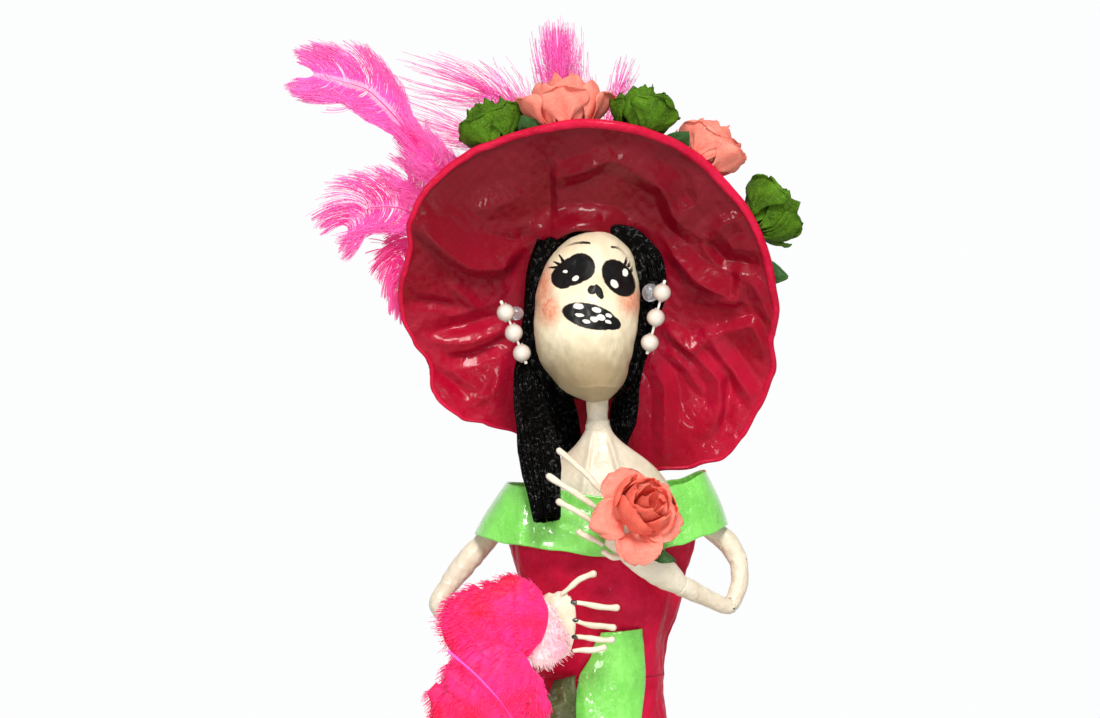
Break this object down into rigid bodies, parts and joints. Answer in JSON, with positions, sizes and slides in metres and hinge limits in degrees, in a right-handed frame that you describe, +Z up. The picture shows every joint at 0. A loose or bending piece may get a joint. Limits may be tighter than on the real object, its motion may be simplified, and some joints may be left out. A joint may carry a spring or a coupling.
{
  "type": "papier-mache catrina figure",
  "caption": "Standing skull-faced lady in a long trumpet dress, wide hat worn far back on the head, paper roses, dyed feathers and bead earrings that can sway.",
  "frame": {"origin": "centre of the base board's underside", "axes": "+Z up along the figure's height, -Y to the front where she faces, +X to her left hand"},
  "size_m": [0.1619, 0.116, 0.4231],
  "materials": {
    "board": "matte",
    "crimson_paper": "gloss",
    "green_paper": "gloss",
    "bone_paint": "satin",
    "black_hair": "gloss",
    "coral_paper": "matte",
    "leaf_paper": "matte",
    "hat_feather": "matte",
    "fan_feather": "matte",
    "pearl": "gloss",
    "steel_wire": "satin"
  },
  "bodies": {
    "figure": {"base_board": "board", "skirt_shell": "crimson_paper", "hem_band": "green_paper", "bodice_shell": "crimson_paper", "front_panel": "green_paper", "hip_fold": "green_paper", "shoulder_band": "green_paper", "chest_form": "bone_paint", "neck_tube": "bone_paint", "spine_wire": "steel_wire", "head": "bone_paint", "hair_tress_front": "black_hair", "hair_tress_back_right": "black_hair", "hair_tress_back_left": "black_hair", "hair_cap": "black_hair", "hat_brim": "crimson_paper", "hat_rim_roll": "crimson_paper", "hat_crown": "crimson_paper", "hat_rose_green_1": "leaf_paper", "hat_rose_coral_1": "coral_paper", "hat_rose_green_2": "leaf_paper", "hat_rose_coral_2": "coral_paper", "hat_rose_green_3": "leaf_paper", "hat_leaf_1": "leaf_paper", "hat_leaf_2": "leaf_paper", "hat_leaf_3": "leaf_paper", "hat_feather_long": "hat_feather", "hat_feather_fan": "hat_feather", "hat_feather_drop": "hat_feather", "hat_feather_side": "hat_feather", "hat_feather_top": "hat_feather", "hat_feather_back": "hat_feather", "arm_right": "bone_paint", "arm_wire_right": "steel_wire", "arm_left": "bone_paint", "arm_wire_left": "steel_wire", "palm_right": "bone_paint", "palm_left": "bone_paint", "finger_right_1": "bone_paint", "finger_right_2": "bone_paint", "finger_right_3": "bone_paint", "finger_right_4": "bone_paint", "finger_right_5": "bone_paint", "finger_left_1": "bone_paint", "finger_left_2": "bone_paint", "finger_left_3": "bone_paint", "finger_left_4": "bone_paint", "thumb_left": "bone_paint", "held_rose": "coral_paper", "held_rose_leaf": "leaf_paper", "fan_feather_upper": "fan_feather", "fan_feather_middle": "fan_feather", "fan_feather_lower": "fan_feather", "earring_right_stud_bead": "pearl", "earring_left_stud_bead": "pearl"},
    "earring_right_middle": {"earring_right_middle_bead": "pearl"},
    "earring_right_drop": {"earring_right_drop_bead": "pearl"},
    "earring_left_middle": {"earring_left_middle_bead": "pearl"},
    "earring_left_drop": {"earring_left_drop_bead": "pearl"}
  },
  "joints": [
    {"name": "earring_right_sway", "type": "hinge", "parent": "figure", "child": "earring_right_middle", "pos_m": [-0.02949, -0.0065, 0.32269], "axis": [0, 1, 0], "range_deg": [-4, 35], "stiffness_Nm_per_rad": 0.001},
    {"name": "earring_right_nod", "type": "hinge", "parent": "earring_right_middle", "child": "earring_right_drop", "pos_m": [-0.02678, -0.0065, 0.31599], "axis": [1, 0, 0], "range_deg": [-45, 10], "stiffness_Nm_per_rad": 0.001},
    {"name": "earring_left_sway", "type": "hinge", "parent": "figure", "child": "earring_left_middle", "pos_m": [0.02024, -0.0065, 0.32914], "axis": [0, 1, 0], "range_deg": [-35, 4], "stiffness_Nm_per_rad": 0.001},
    {"name": "earring_left_nod", "type": "hinge", "parent": "earring_left_middle", "child": "earring_left_drop", "pos_m": [0.01824, -0.0065, 0.32084], "axis": [1, 0, 0], "range_deg": [-45, 10], "stiffness_Nm_per_rad": 0.001}
  ]
}
